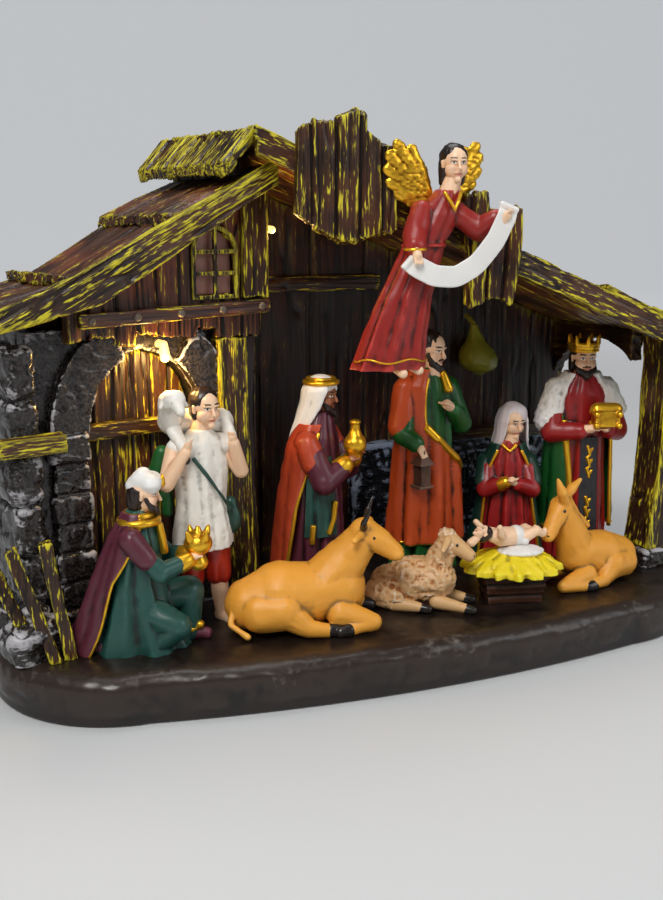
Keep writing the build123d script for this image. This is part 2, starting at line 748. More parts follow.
def leaning_stakes(cutters):
    """Thin split stakes that lean against the boulders."""
    wide, thick = STAKE_WIDTH / 2, STAKE_THICKNESS / 2
    stakes = []
    for x, y, lean, back in STAKES:
        stake = block((-wide, -thick, -STAKE_WIDTH), (wide, thick, STAKE_LENGTH))
        stake = Pos(x, y, BASE_TOP) * Rot(-back, lean, 0) * stake
        stake &= block((-END_X, -BASE_BACK, BASE_TOP), (END_X, BASE_BACK, FAR))
        for cutter in cutters + stakes:
            stake -= cutter
        stakes.append(largest(stake))
    return join(stakes)


def left_post():
    """The post between the doorway and the hall, leaning a little."""
    foot = Pos(POST_FOOT_U, 0, BASE_TOP) * Rectangle(POST_WIDTH, POST_DEPTH)
    head = Pos(POST_FOOT_U + POST_LEAN, 0, GABLE_FOOT) * Rectangle(POST_WIDTH, POST_DEPTH)
    return loft([foot, head])


def window_outline(grow, v):
    """The gable window's outline, or a larger one round it."""
    half, sill, rise = WINDOW_HALF_WIDTH + grow, WINDOW_SILL - grow, WINDOW_RISE + grow
    return arch_outline(WINDOW_CENTRE, half, sill, WINDOW_SPRING, rise, v)


def gable_panel():
    """Vertical gable boards with uneven lower ends, the window opening and the lamp holes."""
    outline = [
        (GABLE_RIGHT, GABLE_FOOT),
        (GABLE_RIGHT, left_under(GABLE_RIGHT)),
        (LEFT_FLARE_U, left_under(LEFT_FLARE_U)),
        (GABLE_LEFT, left_under(GABLE_LEFT)),
    ]
    post_left = POST_FOOT_U + POST_LEAN - POST_WIDTH / 2
    width = (post_left - GABLE_LEFT) / GABLE_BOARDS
    for index in range(GABLE_BOARDS):
        foot = GABLE_FOOT + GABLE_JAG * (0.5 + 0.5 * math.sin(2.4 * index))
        outline.append((GABLE_LEFT + index * width, foot))
        outline.append((GABLE_LEFT + (index + 1) * width, foot))
    outline.append((post_left, GABLE_FOOT))
    panel = board(outline, GABLE_FRONT, 0)
    panel -= upright(window_outline(0, GABLE_FRONT - 1), GABLE_FRONT - 1, 1)
    return panel - DOOR_LAMP_HOLE - GABLE_LAMP_HOLE


def window_pane():
    """The brown pane set back in the gable's window."""
    front = GABLE_FRONT + PANE_RECESS
    return upright(window_outline(0, front), front, front + PANE_THICKNESS)


def window_frame():
    """An arched frame with one upright bar and cross bars, on the face of the gable."""
    front = GABLE_FRONT - WINDOW_FRAME_RELIEF
    outer = upright(window_outline(WINDOW_BAR, front), front, GABLE_FRONT)
    inner = upright(window_outline(0, front), front, GABLE_FRONT)
    bar = WINDOW_BAR / 2
    reach = WINDOW_HALF_WIDTH + bar
    crown = WINDOW_SPRING + WINDOW_RISE
    bars = block(
        (WINDOW_CENTRE - bar, front, WINDOW_SILL),
        (WINDOW_CENTRE + bar, GABLE_FRONT, crown + bar),
    )
    row = (crown - WINDOW_SILL) / WINDOW_ROWS
    for index in range(1, WINDOW_ROWS):
        height = WINDOW_SILL + index * row
        bars += block(
            (WINDOW_CENTRE - reach, front, height - bar),
            (WINDOW_CENTRE + reach, GABLE_FRONT, height + bar),
        )
    return (outer - inner) + (bars & outer)


def gable_corner_board():
    """The wide board up the gable's right edge, above the strap."""
    left = GABLE_RIGHT + 1 - CORNER_BOARD_WIDTH
    right = GABLE_RIGHT + 1
    foot = STRAP_LEFT_FOOT + STRAP_RISE + STRAP_HEIGHT + 1
    outline = [(left, foot), (right, foot), (right, left_under(right)), (left, left_under(left))]
    window_edge = WINDOW_CENTRE + WINDOW_HALF_WIDTH + WINDOW_BAR
    return board(outline, GABLE_FRONT - CORNER_BOARD_THICKNESS, GABLE_FRONT) - block(
        (window_edge - WINDOW_BAR, -FAR, 0), (window_edge, FAR, WINDOW_SPRING + WINDOW_RISE)
    )


def strap_foot(u):
    """Height of the strap beam's lower edge."""
    return STRAP_LEFT_FOOT + STRAP_RISE * (u - STRAP_LEFT) / (STRAP_RIGHT - STRAP_LEFT)


def strap_pieces():
    """The beam across the gable and the round-headed nails on it."""
    front = GABLE_FRONT - STRAP_THICKNESS
    outline = [
        (STRAP_LEFT, strap_foot(STRAP_LEFT)),
        (STRAP_RIGHT, strap_foot(STRAP_RIGHT)),
        (STRAP_RIGHT, strap_foot(STRAP_RIGHT) + STRAP_HEIGHT),
        (STRAP_LEFT, strap_foot(STRAP_LEFT) + STRAP_HEIGHT),
    ]
    beam = board(outline, front, GABLE_FRONT)
    rivets = []
    step = (STRAP_RIGHT - STRAP_LEFT - 2 * RIVET_MARGIN) / (RIVET_COUNT - 1)
    for index in range(RIVET_COUNT):
        u = STRAP_LEFT + RIVET_MARGIN + index * step
        nail = Cone(RIVET_RADIUS, RIVET_RADIUS * 0.6, RIVET_HEIGHT)
        spot = Pos(u, front - RIVET_HEIGHT / 2, strap_foot(u) + STRAP_HEIGHT / 2)
        rivets.append(spot * Rot(90, 0, 0) * nail)
    return beam, join(rivets)


def course(u_high, u_low, lift, v_front, v_back):
    """One course of roof boards, its lower end lifted on the course below."""
    high, low = left_under(u_high), left_under(u_low) + lift
    corners = [(u_high, high)]
    if u_low < LEFT_FLARE_U < u_high:
        corners.append((LEFT_FLARE_U, left_under(LEFT_FLARE_U)))
    corners += [(u_low, low), (u_low, low + COURSE_THICKNESS)]
    if u_low < LEFT_FLARE_U < u_high:
        corners.append((LEFT_FLARE_U, left_under(LEFT_FLARE_U) + COURSE_THICKNESS))
    corners.append((u_high, high + COURSE_THICKNESS))
    return board(corners, v_front, v_back)


def left_roof():
    """Three overlapping courses of boards and the board along their front edge."""
    trim = block((-FAR, -FAR, 0), (-END_X, FAR, FAR))
    lower_start = MIDDLE_COURSE_END + COURSE_OVERLAP
    middle_start = UPPER_COURSE_END + COURSE_OVERLAP
    lower = course(lower_start, LEFT_EAVE_U, 0, LEFT_ROOF_FRONT, WING_REAR)
    middle = course(middle_start, MIDDLE_COURSE_END, COURSE_LIFT, LEFT_ROOF_FRONT, WING_REAR) - lower
    upper = course(0, UPPER_COURSE_END, COURSE_LIFT, LEFT_ROOF_FRONT, WING_REAR)
    upper += course(GABLE_RIGHT, 0, 0, LEFT_ROOF_FRONT, 0)
    upper -= middle
    top = COURSE_THICKNESS + COURSE_LIFT
    barge = [
        (GABLE_RIGHT + 1, left_under(GABLE_RIGHT + 1) + COURSE_THICKNESS + 1),
        (UPPER_COURSE_END, left_under(UPPER_COURSE_END) + top),
        (MIDDLE_COURSE_END, left_under(MIDDLE_COURSE_END) + top),
        (LEFT_EAVE_U, left_under(LEFT_EAVE_U) + COURSE_THICKNESS + 2),
        (LEFT_EAVE_U, left_under(LEFT_EAVE_U) - 1),
        (LEFT_FLARE_U, left_under(LEFT_FLARE_U) - BARGE_DROP),
        (GABLE_RIGHT + 1, left_under(GABLE_RIGHT + 1) - BARGE_DROP),
    ]
    bargeboard = board(barge, LEFT_ROOF_FRONT - BARGE_THICKNESS, LEFT_ROOF_FRONT)
    return [WING * piece - trim for piece in (lower, middle, upper, bargeboard)]


def wing_walls():
    """The wing's left side wall, its rear wall and the partition towards the hall."""
    side_right = WING_WALL_LEFT + SIDE_WALL_THICKNESS
    side = board(
        [
            (WING_WALL_LEFT, BASE_TOP),
            (side_right, BASE_TOP),
            (side_right, left_under(side_right)),
            (WING_WALL_LEFT, left_under(WING_WALL_LEFT)),
        ],
        STONE_WALL_THICKNESS,
        REAR_WALL_FRONT,
    )
    rear = board(
        [
            (WING_WALL_LEFT, BASE_TOP),
            (0, BASE_TOP),
            (0, left_under(0)),
            (LEFT_FLARE_U, left_under(LEFT_FLARE_U)),
            (WING_WALL_LEFT, left_under(WING_WALL_LEFT)),
        ],
        REAR_WALL_FRONT,
        WING_REAR,
    )
    partition = block((0, 0, BASE_TOP), (PARTITION_THICKNESS, WING_REAR, FAR))
    partition -= left_post()
    partition -= course(GABLE_RIGHT, 0, 0, LEFT_ROOF_FRONT, 0)
    return side, rear, partition


# Main roof pieces
def ridge_cap():
    """The short steep board on the left of the ridge, over the wing's roof."""
    low = RIDGE_TOP - CAP_DROP
    outline = [
        (RIDGE_U, RIDGE_TOP),
        (RIDGE_U, RIDGE_TOP - DECK_THICKNESS),
        (RIDGE_U - CAP_REACH + 1, low - CAP_THICKNESS),
        (RIDGE_U - CAP_REACH, low),
    ]
    return board(outline, RIDGE_FRONT, RIDGE_REAR)


def right_barge():
    """The board along the front edge of the main roof."""
    left, right = FRONT_LEFT.X, FRONT_RIGHT.X
    outline = [
        (left, front_height(left)),
        (right, front_height(right)),
        (right, front_height(right) - DECK_THICKNESS - RIGHT_BARGE_DROP),
        (left, front_height(left) - DECK_THICKNESS - RIGHT_BARGE_DROP),
    ]
    return front_board(outline, 0, RIGHT_BARGE_THICKNESS)


def broken_boards():
    """Two broken upright boards nailed on the front of the main roof."""
    near, far = RIGHT_BARGE_THICKNESS, RIGHT_BARGE_THICKNESS + BROKEN_THICKNESS
    return front_board(BROKEN_LEFT, near, far), front_board(BROKEN_RIGHT, near, far)


def roof_shingle(deck):
    """A loose shingle near the right end of the main roof."""
    left = END_X - SHINGLE_LENGTH
    patch = block((left, -FAR, 0), (END_X - 1, RIGHT_EAVE_Y + SHINGLE_DEPTH, FAR))
    return (main_roof_solid(SHINGLE_THICKNESS, 0, 0) & patch) - deck - UNDER_MAIN_ROOF


def right_post_pieces():
    """The thick right post, waisted like a trunk, on its flat stone."""
    left, right = RIGHT_POST_LEFT, RIGHT_POST_LEFT + RIGHT_POST_WIDTH
    foot = BASE_TOP + RIGHT_PLINTH_HEIGHT
    middle = 0.5 * (BASE_TOP + RIGHT_EAVE_TOP)
    top = RIGHT_EAVE_TOP + DECK_THICKNESS * 3
    front, back = RIGHT_POST_FRONT, RIGHT_POST_FRONT + RIGHT_POST_DEPTH
    foot_left = (left - RIGHT_POST_FLARE, front, foot)
    foot_right = (right + RIGHT_POST_FLARE, front, foot)
    top_left, top_right = (left, front, top), (right, front, top)
    outline = [
        ThreePointArc(foot_left, (left + RIGHT_POST_WAIST, front, middle), top_left),
        Line(top_left, top_right),
        ThreePointArc(top_right, (right - RIGHT_POST_WAIST, front, middle), foot_right),
        Line(foot_right, foot_left),
    ]
    post = upright(outline, front, back) & UNDER_MAIN_ROOF
    margin = RIGHT_PLINTH_MARGIN
    stone = rounded_stone(
        (left - RIGHT_POST_FLARE - margin, front - margin, BASE_TOP),
        (right + RIGHT_POST_FLARE + margin, back + margin, foot),
        STONE_ROUND,
    )
    return post, stone


def side_arch():
    """The header over the open right side, from the right post to the back wall."""
    front = RIGHT_POST_FRONT + RIGHT_POST_DEPTH
    back = BACK_WALL_FRONT
    x, top = SIDE_ARCH_LEFT, RIGHT_EAVE_TOP + DECK_THICKNESS * 4
    front_spring, back_spring = (x, front, SIDE_ARCH_FRONT_SPRING), (x, back, SIDE_ARCH_BACK_SPRING)
    edges = [
        Line((x, front, top), (x, back, top)),
        Line((x, back, top), back_spring),
        ThreePointArc(back_spring, (x, (front + back) / 2, SIDE_ARCH_CROWN), front_spring),
        Line(front_spring, (x, front, top)),
    ]
    return extrude(make_face(edges), SIDE_ARCH_THICKNESS, dir=(1, 0, 0)) & UNDER_MAIN_ROOF


def back_wall_pieces(cutters):
    """The plank wall at the back with its window, the stone plinth, the ledge and the tie beam."""
    right = SIDE_ARCH_LEFT + SIDE_ARCH_THICKNESS
    left = wing_to_row(0, REAR_WALL_FRONT, 0)[0]
    wall = block((left, BACK_WALL_FRONT, BASE_TOP), (right, BACK_Y, FAR)) & UNDER_MAIN_ROOF
    half = BACK_WINDOW_HALF_WIDTH
    before = BACK_WALL_FRONT - 1
    opening = arch_outline(BACK_WINDOW_X, half, BACK_WINDOW_SILL, BACK_WINDOW_SPRING, half, before)
    wall -= upright(opening, before, BACK_Y + 1)
    for cutter in cutters:
        wall -= cutter
    plinth_top = BASE_TOP + PLINTH_HEIGHT
    plinth_front = BACK_WALL_FRONT - PLINTH_THICKNESS
    plinth = block((PLINTH_LEFT, plinth_front, BASE_TOP), (right, BACK_WALL_FRONT, plinth_top))
    ledge = block(
        (LEDGE_LEFT, plinth_front - LEDGE_OVERHANG, plinth_top),
        (right, BACK_WALL_FRONT, plinth_top + LEDGE_HEIGHT),
    )
    tie = block(
        (TIE_LEFT, BACK_WALL_FRONT - TIE_THICKNESS, TIE_FOOT),
        (TIE_RIGHT, BACK_WALL_FRONT, TIE_FOOT + TIE_HEIGHT),
    )
    return wall, plinth, ledge, tie


def seam_places(pitch):
    """Places of the seams between planks of one width, over the whole piece."""
    count = int(BASE_WIDTH / pitch)
    return [pitch * index for index in range(-count, count + 1)]


def deck_seams():
    """Slots between the main roof's planks, in its top and its underside."""
    top = main_roof_solid(1, RIDGE_TOP - SEAM_DEPTH, RIGHT_EAVE_TOP - SEAM_DEPTH)
    under = DECK_THICKNESS + 1
    foot = main_roof_solid(SEAM_DEPTH - DECK_THICKNESS, RIDGE_TOP - under, RIGHT_EAVE_TOP - under)
    half = SEAM_WIDTH / 2
    inside = [y for y in seam_places(DECK_PLANK) if abs(y) < BASE_DEPTH / 2]
    slots = join([block((-FAR, y - half, 0), (FAR, y + half, FAR)) for y in inside])
    return [top & slots, foot & slots]


def wall_seams(pitch, front, rear, faces):
    """Upright slots between planks, in the front or rear face of a wall or in both."""
    half = SEAM_WIDTH / 2
    slots = []
    for x in seam_places(pitch):
        if "front" in faces:
            slots.append(block((x - half, front - 1, 0), (x + half, front + SEAM_DEPTH, FAR)))
        if "rear" in faces:
            slots.append(block((x - half, rear - SEAM_DEPTH, 0), (x + half, rear + 1, FAR)))
    return join(slots)


def gourd(wall):
    """A pear-shaped gourd hung on the back wall."""
    y = BACK_WALL_FRONT - GOURD_RADIUS + GOURD_SINK
    foot = GOURD_TOP - GOURD_LENGTH
    rings = []
    for share, wide in GOURD_SHAPE:
        middle = Pos(GOURD_X - GOURD_LEAN * share, y, foot + GOURD_LENGTH * share)
        rings.append(middle * Circle(GOURD_RADIUS * wide))
    x = GOURD_X - GOURD_LEAN
    stem = rod((x, y, GOURD_TOP), (x, BACK_WALL_FRONT + 1, GOURD_TOP + GOURD_LEAN), GOURD_RADIUS * 0.13)
    return join(loft(rings), stem) - wall


# Figures, in hundredths of their own height
BALL_SWELL = 1.03


def ball(x, y, z, radius):
    return Pos(x, y, z) * Sphere(radius)


def limb(points, radii):
    """Tapered round lengths through the points, with a ball a little larger at each joint."""
    pieces = [ball(*point, radius * BALL_SWELL) for point, radius in zip(points, radii)]
    for start, end, r_start, r_end in zip(points, points[1:], radii, radii[1:]):
        axis = Vector(*end) - Vector(*start)
        pieces.append(Solid.make_cone(r_start, r_end, axis.length, Plane(origin=start, z_dir=axis)))
    return pieces


def robe(rings):
    """A loft through level ovals: x, y, z, half width, half depth."""
    return loft([Pos(x, y, z) * Ellipse(wide, deep) for x, y, z, wide, deep in rings])


def place(figure, data):
    """Scales a figure to its height, turns it and stands it flat on the base."""
    height, x, y, heading = data
    figure &= block((-FAR, -FAR, 0), (FAR, FAR, FAR))
    return Pos(x, y, BASE_TOP) * Rot(0, 0, heading) * scale(figure, by=height / 100)


def head(x, y, z, size):
    """A head, a little narrower at the chin, on its neck."""
    points = [(x, y, z - 8.5 * size), (x, y - 0.8, z - 2.6 * size), (x, y, z + 1.6 * size)]
    return limb(points, [3.2 * size, 4.8 * size, 5.7 * size])


def beard(x, y, z, size):
    points = [(x, y - 3.4 * size, z - 4 * size), (x, y - 4.6 * size, z - 9 * size)]
    return limb(points, [3.4 * size, 1.2 * size])


def father_figure():
    gown = robe(
        [
            (0, 0, 0, 15.5, 11.5),
            (0, 0, 25, 14, 10.5),
            (0, 0, 50, 12.5, 9.5),
            (0, 0, 66, 11.5, 8.5),
            (0, 0, 78, 12.5, 7.8),
            (0, 0, 85.5, 5, 4.8),
        ]
    )
    hair = limb([(1, 1.6, 94), (1, 3, 86)], [6.2, 4.6])
    lantern_arm = limb([(-11, 0, 76), (-15, -3, 60), (-12, -12, 54)], [4.6, 4.1, 2.2])
    chest_arm = limb([(11, 0, 76), (14.5, -5, 62), (3, -10.5, 72)], [4.6, 4.1, 2.2])
    lantern = block((-15, -15.5, 38), (-9, -9.5, 48))
    hood = limb([(-12, -12.5, 47.5), (-12, -12.5, 53)], [2.8, 0.7])
    face = head(1, -1.5, 92.2, 1) + beard(1, -1.5, 92.2, 1)
    return place(join(gown, face, hair, lantern_arm, chest_arm, lantern, hood), FATHER)


def mother_figure():
    gown = robe(
        [
            (0, 3, 0, 23, 20),
            (0, 2, 18, 20, 17),
            (0, 0, 42, 15.5, 12.5),
            (0, 0, 62, 14.5, 10.5),
            (0, -1, 76, 6.5, 6),
        ]
    )
    veil = limb([(2, 0.4, 90), (2, 3, 80), (2, 7, 52)], [9, 8.4, 9.5])
    arms = limb([(-12, -1, 62), (-14.5, -9, 46), (0, -17, 52)], [5.6, 5, 2.8])
    arms += limb([(12, -1, 62), (14.5, -9, 46), (3, -17, 53)], [5.6, 5, 2.7])
    return place(join(gown, head(2, -3.4, 87, 1.35), veil, arms), MOTHER)


def standing_king_figure():
    gown = robe(
        [
            (0, 0, 0, 14.5, 11),
            (0, 0, 28, 13, 10),
            (0, 0, 55, 12, 9),
            (0, 0, 75, 13, 8.5),
            (0, 0, 84, 5.5, 5),
        ]
    )
    cape = robe([(0, 6, 22, 13, 6), (0, 5, 50, 13.5, 6.5), (0, 2.5, 76, 13.5, 7.5), (0, 1, 82, 8, 6)])
    crown = [Pos(0, 0, 95.5) * Cone(6, 6.8, 5.6)]
    for index in range(5):
        bend = math.radians(72 * index - 90)
        crown.append(Pos(5.6 * math.cos(bend), 5.6 * math.sin(bend), 98.6) * Cone(1.3, 0.4, 2.8))
    hair = limb([(0, 2, 91), (0, 3, 84)], [6, 4.4])
    arms = limb([(12, 0, 74), (15, -5, 60), (9, -14, 61)], [4.8, 4.2, 2.3])
    arms += limb([(-12, 0, 74), (-14, -6, 58), (3, -15, 60.5)], [4.8, 4.2, 2.2])
    casket = block((1, -19, 62), (13, -11, 69))
    lid = limb([(3, -15, 69.5), (11, -15, 69.2)], [3.2, 3.1])
    face = head(0, -1.5, 90.5, 1) + beard(0, -1.5, 90.5, 1)
    return place(join(gown, cape, face, hair, crown, arms, casket, lid), STANDING_KING)


def jar_king_figure():
    gown = robe(
        [
            (0, 1, 0, 16, 14),
            (0, 1, 25, 14.5, 12.5),
            (0, 0, 50, 13.5, 10.5),
            (0, 0, 69, 13, 9),
            (0, -1, 81, 5.5, 5.2),
        ]
    )
    cloak = robe([(0, 8, 8, 17, 8), (0, 7, 40, 15, 8), (0, 3, 68, 14, 8), (0, 1, 76, 8, 6)])
    turban = limb([(0, -0.8, 93), (0, 4, 88), (0, 8, 66)], [6.8, 5.6, 7.2])
    arms = limb([(12, -1, 67), (14, -9, 53), (3.5, -15, 62)], [5, 4.6, 2.5])
    arms += limb([(-12, -1, 67), (-14, -9, 53), (-3.5, -15, 61)], [5, 4.6, 2.4])
    jar = limb([(0, -17, 64), (0, -17, 68), (0, -17, 76)], [4.2, 4.4, 2])
    return place(join(gown, cloak, head(0, -3, 88, 1), beard(0, -3, 88, 1), turban, arms, jar), JAR_KING)


def shepherd_figure():
    legs = limb([(-6, 1, 2.5), (-5.5, 0, 24)], [2.6, 3.8])
    legs += limb([(6, -4, 2.5), (5.5, -1.5, 24)], [2.6, 3.7])
    feet = limb([(-6, 2, 1.4), (-7, -6, 1)], [2.8, 2.2]) + limb([(6, -3, 1.4), (7, -11, 1)], [2.8, 2.2])
    breeches = robe([(0, -0.5, 19, 10.5, 7.2), (0, -0.3, 30, 10.8, 7.6), (0, 0, 40, 10, 7.4)])
    tunic = robe([(0, 0, 33, 12.2, 9), (0, 0, 50, 10, 7.6), (0, 0, 68, 11.5, 7), (0, 0, 79, 4.8, 4.5)])
    hair = limb([(2, 0, 90), (2, 1.4, 86)], [6.3, 5.8])
    arms = limb([(10.5, 0, 71), (17, -2, 62), (11.5, -6, 76)], [4, 3.6, 2.2])
    arms += limb([(-10.5, 0, 71), (-16, -4, 60), (-9, -8, 74)], [4, 3.6, 2.2])
    lamb = limb(
        [(11, 6, 79), (-1, 7, 81), (-11, 4.5, 84), (-12.5, -2.5, 91), (-12.5, -8, 89)],
        [5.4, 6.4, 5.2, 4.2, 2.6],
    )
    lamb += limb([(10, 2, 80), (11, -6, 70)], [3, 1.8]) + limb([(-9, 1, 78), (-9, -8.5, 68)], [3, 1.8])
    return place(join(legs, feet, breeches, tunic, head(2, -2, 87, 1), hair, arms, lamb), SHEPHERD)


def kneeling_king_figure():
    cloak = robe(
        [
            (0, 6, 0, 19, 33),
            (0, 7, 16, 17, 26),
            (0, 6, 40, 14.5, 17),
            (0, 1, 62, 12.6, 13),
            (0, -1, 76, 6.3, 7),
        ]
    )
    shoulders = limb([(-13, 1, 63), (13, 1, 63.2)], [6.2, 6.1])
    knee = limb([(8, -8, 24), (9, -25, 27), (9, -24, 4)], [9, 8.4, 6.4])
    shoe = limb([(9, -24, 3), (9, -34, 2)], [4.8, 3])
    turban = limb([(0, -3, 93), (0, 0, 88)], [7.4, 7.8]) + limb([(0, -10, 92), (0, -11, 98)], [3, 1.2])
    arms = limb([(13, 0, 61), (15, -14, 46), (5, -28, 51)], [6, 5.4, 3.2])
    arms += limb([(-13, 0, 61), (-15, -14, 46), (-5, -28, 50)], [6, 5.4, 3.1])
    bowl = [Pos(0, -31, 53) * Cone(4.2, 8.4, 9), Pos(0, -31, 46.5) * Cone(5.4, 3, 5)]
    face = head(0, -5, 84, 1.3) + beard(0, -5, 84, 1.2)
    return place(join(cloak, shoulders, knee, shoe, face, turban, arms, bowl), KNEELING_KING)


def ox_figure():
    body = limb([(-32, 0, 15), (-16, 0, 19), (0, 0, 18), (14, 0, 21)], [14, 18, 17, 16.4])
    neck = limb([(17, 0, 30), (29, -2, 49)], [13.5, 9])
    muzzle = limb([(29, -3, 51), (43, -10, 42)], [8.6, 5.4])
    horns = limb([(28, -10, 56), (29, -14, 66)], [2, 0.7]) + limb([(31, 5, 56), (33, 9, 66)], [2, 0.7])
    ears = limb([(26, -10, 52), (21, -16, 51)], [2.6, 1.2])
    ears += limb([(31, 5, 52), (31, 12, 52)], [2.6, 1.2])
    legs = limb([(14, -13, 9), (31, -17, 6), (18, -20, 3.5)], [7, 4.6, 3.4])
    legs += limb([(14, 13, 9), (32, 14, 5)], [7, 3.6])
    haunch = limb([(-27, -9, 12), (-16, -12, 13), (-4, -18, 5), (7, -19, 4)], [10, 10.5, 5, 3.4])
    return place(join(body, neck, muzzle, horns, ears, legs, haunch), OX)


def sheep_figure():
    body = limb([(-30, 0, 20), (-10, 0, 25), (12, 0, 28)], [17, 22, 20])
    neck = limb([(16, 0, 44), (26, 0, 62)], [13, 10.5])
    muzzle = limb([(26, 0, 64), (44, -4, 54)], [10, 6.4])
    ears = limb([(24, -9, 66), (22, -19, 62)], [4, 2]) + limb([(26, 9, 66), (26, 19, 62)], [4, 2])
    legs = limb([(16, -13, 10), (44, -15, 6)], [7, 4.4]) + limb([(16, 13, 10), (42, 13, 6)], [7, 4.4])
    legs += limb([(-22, -17, 8), (4, -20, 6)], [8, 4.4])
    return place(join(body, neck, muzzle, ears, legs), SHEEP)


def donkey_figure():
    body = limb([(-38, 0, 19), (-18, 0, 23), (6, 0, 27)], [17.5, 21, 19])
    neck = limb([(12, 0, 40), (26, 0, 68)], [15, 10])
    muzzle = limb([(26, 0, 70), (44, 8, 52)], [10.4, 6.6])
    ears = limb([(22, -7, 78), (17, -11, 99)], [4.2, 1.6]) + limb([(25, 8, 78), (22, 13, 99)], [4.2, 1.6])
    legs = limb([(8, 16, 10), (36, 20, 7), (14, 24, 5)], [8, 5.4, 4.6])
    legs += limb([(8, -14, 10), (34, -12, 6)], [8, 5])
    haunch = limb([(-36, 10, 15), (-20, 14, 16), (-6, 22, 7), (6, 24, 6)], [12, 13, 6, 4.6])
    return place(join(body, neck, muzzle, ears, legs, haunch), DONKEY)


def crib_pieces():
    """The crib box, the straw that spills over it and the infant on the straw."""
    spot = Pos(CRIB_X, CRIB_Y, BASE_TOP) * Rot(0, 0, CRIB_TURN)
    foot = Rectangle(CRIB_FOOT_LENGTH, CRIB_FOOT_WIDTH)
    box = loft([foot, Pos(0, 0, CRIB_HEIGHT) * Rectangle(CRIB_TOP_LENGTH, CRIB_TOP_WIDTH)])
    wall = 2 * CRIB_WALL
    floor = Rectangle(CRIB_FOOT_LENGTH - wall, CRIB_FOOT_WIDTH - wall)
    mouth = Rectangle(CRIB_TOP_LENGTH - wall, CRIB_TOP_WIDTH - wall)
    box -= loft([Pos(0, 0, CRIB_FLOOR) * floor, Pos(0, 0, CRIB_HEIGHT) * mouth])
    rim = CRIB_HEIGHT + STRAW_THICKNESS
    tips = []
    for index in range(2 * STRAW_TIPS):
        bend = math.pi * index / STRAW_TIPS
        reach = STRAW_OVERHANG * (1 if index % 2 == 0 else 0.35)
        wide, deep = CRIB_TOP_LENGTH / 2 + reach, CRIB_TOP_WIDTH / 2 + reach
        tips.append((wide * math.cos(bend), deep * math.sin(bend)))
    outline = Pos(0, 0, CRIB_HEIGHT) * make_face(Polyline(*tips, close=True))
    spill = extrude(outline, STRAW_THICKNESS, taper=STRAW_TAPER)
    packed = loft([Pos(0, 0, CRIB_FLOOR) * floor, Pos(0, 0, CRIB_HEIGHT) * mouth])
    straw = packed + spill
    unit = INFANT_LENGTH / 100
    body = limb([(-20, 0, 12), (8, 0, 14), (20, 0, 16), (34, 0, 22)], [11, 12.5, 8, 12.4])
    body += limb([(12, -8, 18), (24, -26, 22)], [6, 4]) + limb([(12, 8, 18), (22, 24, 30)], [6, 4])
    body += limb([(-22, -6, 12), (-48, -12, 14)], [8, 5]) + limb([(-22, 6, 12), (-46, 10, 20)], [8, 5])
    infant = join(body) & block((-FAR, -FAR, 0), (FAR, FAR, FAR))
    infant = Pos(INFANT_SHIFT, 0, rim) * Rot(0, 0, INFANT_TURN) * scale(infant, by=unit)
    return spot * box, spot * straw, spot * infant


def angel_pieces(cutters):
    """The angel before the roof, leaning to the left, with its wings and the banner that it holds."""
    gown = robe(
        [
            (0, 0, 4, 17, 10),
            (3, 0, 18, 14.5, 9.5),
            (8, 0, 36, 11.5, 9),
            (15, 0, 54, 10, 8),
            (22, 0, 70, 11, 7.6),
            (27, 0, 80.5, 5, 4.6),
        ]
    )
    hair = limb([(29, 1, 93.5), (28, 2.6, 86)], [6.2, 4.8])
    arms = limb([(13, -1, 72), (8, -8, 58), (6, -13, 50)], [5, 4.2, 2.2])
    arms += limb([(31, -1, 72), (40, -8, 64), (46, -13, 71)], [5, 4.2, 2.2])
    feet = limb([(3, 0, 5), (4, -6, 2.4)], [3, 2.3]) + limb([(10, 0, 6), (12, -5, 3.4)], [3, 2.3])
    left_wing = [
        ThreePointArc((17, 4, 68), (1, 4, 84), (5, 4, 100)),
        ThreePointArc((5, 4, 100), (17, 4, 92), (24, 4, 74)),
    ]
    right_wing = [
        ThreePointArc((26, 4, 74), (30, 4, 92), (44, 4, 100)),
        ThreePointArc((44, 4, 100), (42, 4, 84), (30, 4, 70)),
    ]
    wings = []
    for blade in (left_wing, right_wing):
        wings.append(upright([*blade, Line(blade[1] @ 1, blade[0] @ 0)], 4, 8))
    figure = join(gown, head(29.5, -1, 91.6, 1.05), hair, arms, feet, wings)
    spot = Pos(ANGEL_X, ANGEL_Y, ANGEL_FOOT)
    figure = spot * scale(figure, by=ANGEL_HEIGHT / 100)
    for cutter in cutters:
        figure -= cutter
    unit = ANGEL_HEIGHT / 100
    hands = [(6 * unit, 49 * unit), (26 * unit, 44 * unit), (47 * unit, 71 * unit)]
    y = -15 * unit
    lower = [(x, y, z - BANNER_HEIGHT / 2) for x, z in hands]
    upper = [(x, y, z + BANNER_HEIGHT / 2) for x, z in hands]
    edges = [
        ThreePointArc(*lower),
        Line(lower[2], upper[2]),
        ThreePointArc(*reversed(upper)),
        Line(upper[0], lower[0]),
    ]
    banner = spot * upright(edges, y, y + BANNER_THICKNESS)
    return figure, banner - figure


